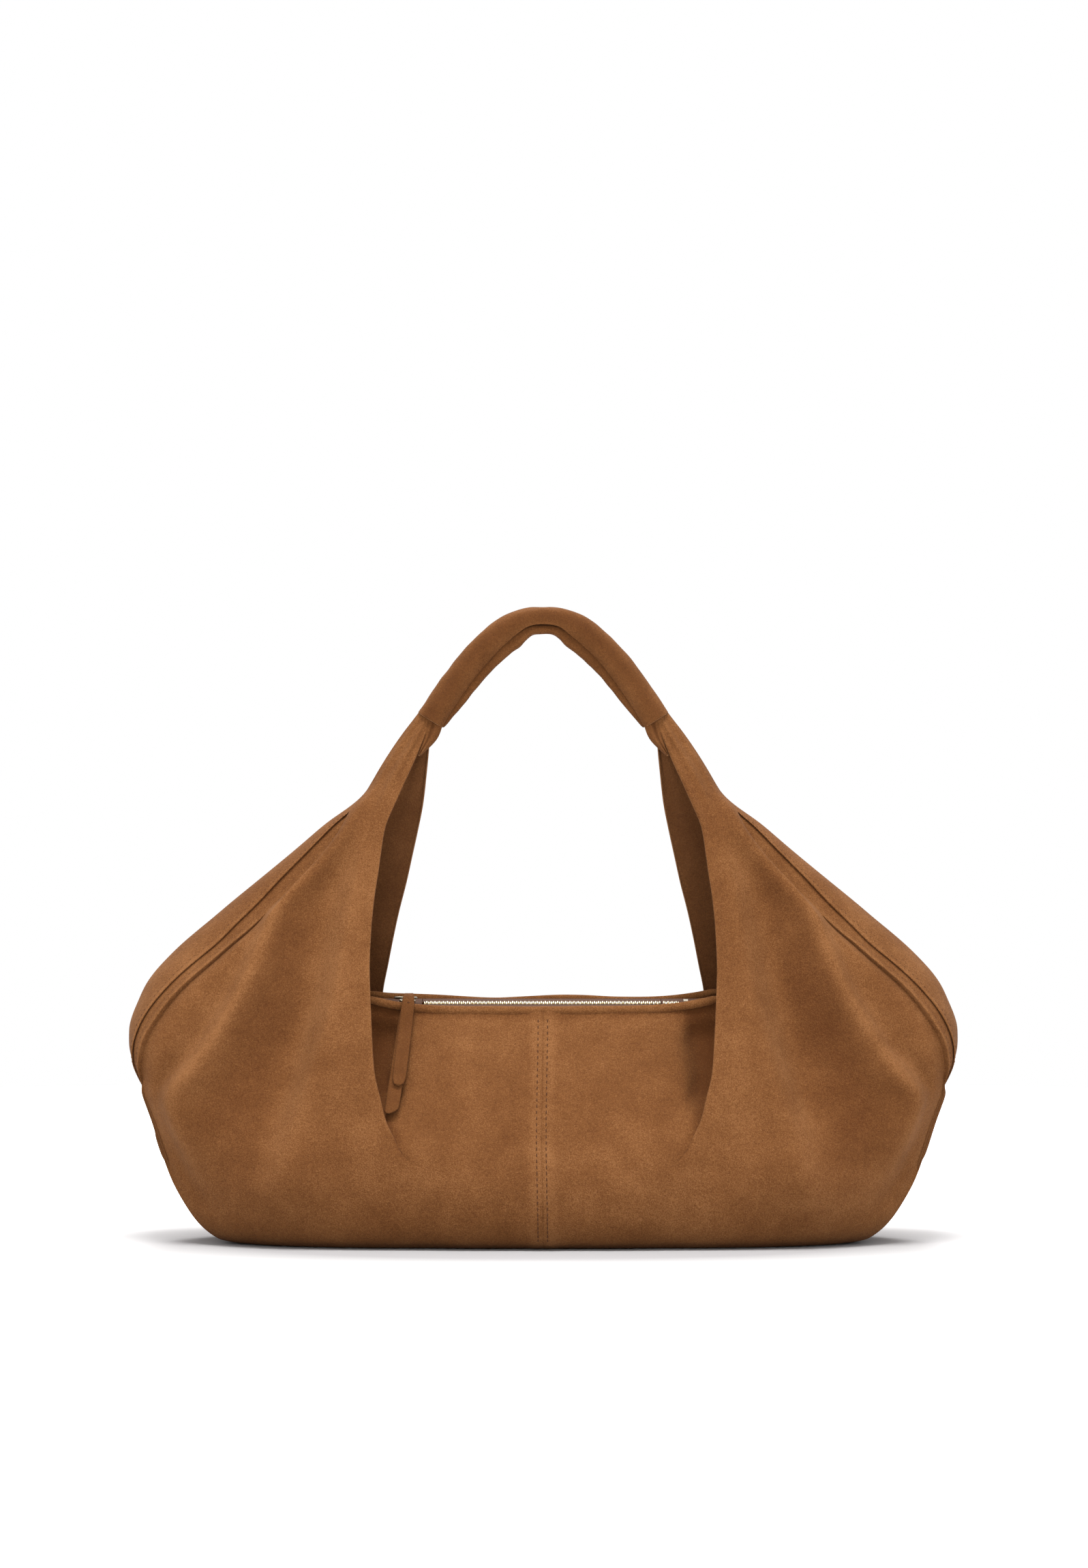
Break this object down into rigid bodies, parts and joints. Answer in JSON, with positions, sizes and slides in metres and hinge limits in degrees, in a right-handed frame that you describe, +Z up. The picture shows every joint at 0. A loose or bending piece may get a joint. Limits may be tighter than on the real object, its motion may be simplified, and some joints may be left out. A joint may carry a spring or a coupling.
{
  "type": "hobo bag",
  "caption": "Slouchy suede hobo bag with gathered horn-shaped panels, a padded arched handle, a zipped top and a leather zip pull.",
  "frame": {"origin": "middle of the flat base, on the surface the bag stands on", "axes": "+Z up towards the handle, +X along the zip to the right as seen from the front, -Y out of the front where the zip pull hangs"},
  "size_m": [0.4858, 0.1368, 0.3758],
  "materials": {
    "suede": "brushed suede, matt",
    "suede_inside": "flesh side of suede, matt",
    "cotton_cloth": "plain woven cotton and zip tape",
    "light_brass": "polished light gold",
    "antique_brass": "dark antique, satin",
    "foam_core": "soft felt roll",
    "fibre_board": "pressed fibre board"
  },
  "bodies": {
    "shell": {"front_panel_left": "suede", "front_panel_right": "suede", "back_panel_left": "suede", "back_panel_right": "suede", "side_gusset_left": "suede", "side_gusset_right": "suede", "gusset_band_front_left": "suede", "gusset_band_front_right": "suede", "gusset_band_back_left": "suede", "gusset_band_back_right": "suede", "base_panel": "suede", "base_board": "fibre_board", "lining_pouch": "cotton_cloth", "inner_pocket": "cotton_cloth", "wing_floor_left": "cotton_cloth", "wing_floor_right": "cotton_cloth", "zip_edge_front": "suede", "zip_edge_back": "suede", "zip_end_left": "cotton_cloth", "zip_end_right": "cotton_cloth", "zip_top_stop": "light_brass", "zip_bottom_stop": "light_brass", "handle_anchor_left": "suede_inside", "handle_anchor_right": "suede_inside"},
    "handle": {"handle_sleeve": "suede", "handle_core": "foam_core", "handle_underlay": "suede_inside"},
    "front_lip": {"zip_tape_front": "cotton_cloth", "zip_teeth_front": "light_brass"},
    "back_lip": {"zip_tape_back": "cotton_cloth", "zip_teeth_back": "light_brass"},
    "slider": {"zip_slider": "antique_brass"},
    "ring": {"pull_ring": "antique_brass"},
    "pull": {"pull_tab": "suede"}
  },
  "joints": [
    {"name": "zip_slide", "type": "slide", "parent": "shell", "child": "slider", "axis": [1, 0, 0], "range_m": [0, 0.156]},
    {"name": "ring_swing", "type": "hinge", "parent": "slider", "child": "ring", "pos_m": [-0.079, -0.00061, 0.14285], "axis": [-1, 0, 0], "range_deg": [0, 90]},
    {"name": "pull_swing", "type": "hinge", "parent": "ring", "child": "pull", "pos_m": [-0.079, -0.01361, 0.14285], "axis": [-1, 0, 0], "range_deg": [0, 90]},
    {"name": "front_lip_turn", "type": "hinge", "parent": "shell", "child": "front_lip", "pos_m": [0, -0.01264, 0.137], "axis": [1, 0, 0], "range_deg": [0, 100]},
    {"name": "back_lip_turn", "type": "hinge", "parent": "shell", "child": "back_lip", "pos_m": [0, 0.01264, 0.141], "axis": [-1, 0, 0], "range_deg": [0, 100]},
    {"name": "handle_tilt", "type": "hinge", "parent": "shell", "child": "handle", "pos_m": [0, 0, 0.306], "axis": [1, 0, 0], "range_deg": [-60, 60]}
  ]
}
